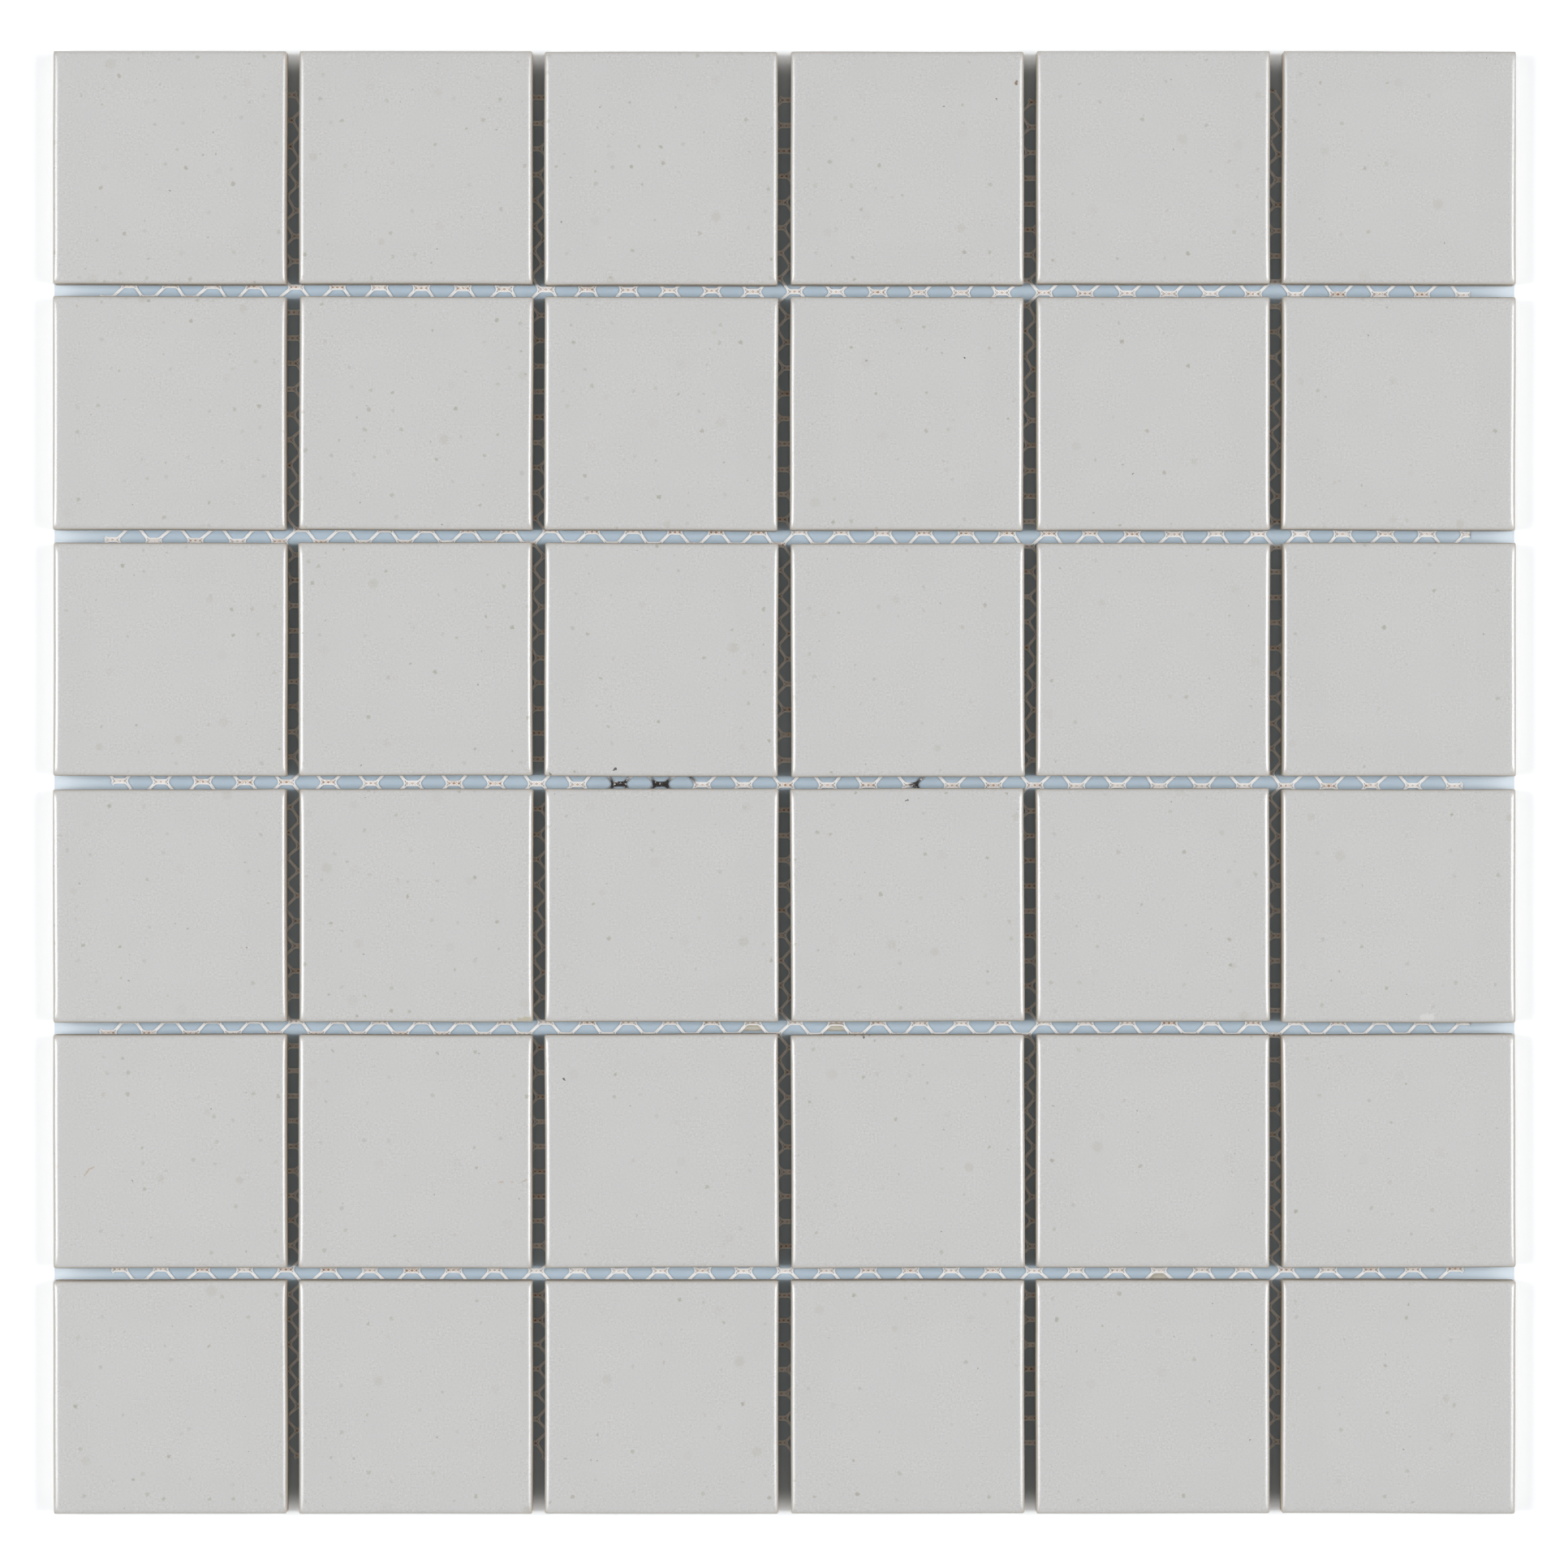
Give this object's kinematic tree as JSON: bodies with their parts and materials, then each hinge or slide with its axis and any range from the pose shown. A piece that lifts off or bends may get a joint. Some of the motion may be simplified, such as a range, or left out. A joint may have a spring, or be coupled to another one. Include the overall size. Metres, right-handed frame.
{
  "type": "mosaic tile sheet",
  "caption": "Square glazed ceramic mosaic tiles in rows and columns at an even joint, bonded to an open knitted net on their backs to make one flat sheet.",
  "frame": {"origin": "middle of the sheet, on the underside of the net", "axes": "+X along a row of tiles, +Y from the bottom row to the top row, +Z out of the glazed faces"},
  "size_m": [0.3034, 0.3034, 0.0064],
  "materials": {
    "glazed_tile": "gloss glaze, pale grey, fine orange peel and sparse dark specks",
    "net_yarn": "open knitted cream yarn net",
    "adhesive": "dried translucent adhesive"
  },
  "bodies": {
    "root": {"tile_r1_c1": "glazed_tile", "tile_r1_c2": "glazed_tile", "tile_r1_c3": "glazed_tile", "tile_r1_c4": "glazed_tile", "tile_r1_c5": "glazed_tile", "tile_r1_c6": "glazed_tile", "tile_r2_c1": "glazed_tile", "tile_r2_c2": "glazed_tile", "tile_r2_c3": "glazed_tile", "tile_r2_c4": "glazed_tile", "tile_r2_c5": "glazed_tile", "tile_r2_c6": "glazed_tile", "tile_r3_c1": "glazed_tile", "tile_r3_c2": "glazed_tile", "tile_r3_c3": "glazed_tile", "tile_r3_c4": "glazed_tile", "tile_r3_c5": "glazed_tile", "tile_r3_c6": "glazed_tile", "tile_r4_c1": "glazed_tile", "tile_r4_c2": "glazed_tile", "tile_r4_c3": "glazed_tile", "tile_r4_c4": "glazed_tile", "tile_r4_c5": "glazed_tile", "tile_r4_c6": "glazed_tile", "tile_r5_c1": "glazed_tile", "tile_r5_c2": "glazed_tile", "tile_r5_c3": "glazed_tile", "tile_r5_c4": "glazed_tile", "tile_r5_c5": "glazed_tile", "tile_r5_c6": "glazed_tile", "tile_r6_c1": "glazed_tile", "tile_r6_c2": "glazed_tile", "tile_r6_c3": "glazed_tile", "tile_r6_c4": "glazed_tile", "tile_r6_c5": "glazed_tile", "tile_r6_c6": "glazed_tile", "mesh_backing": "net_yarn", "adhesive_dabs": "adhesive"}
  },
  "joints": []
}
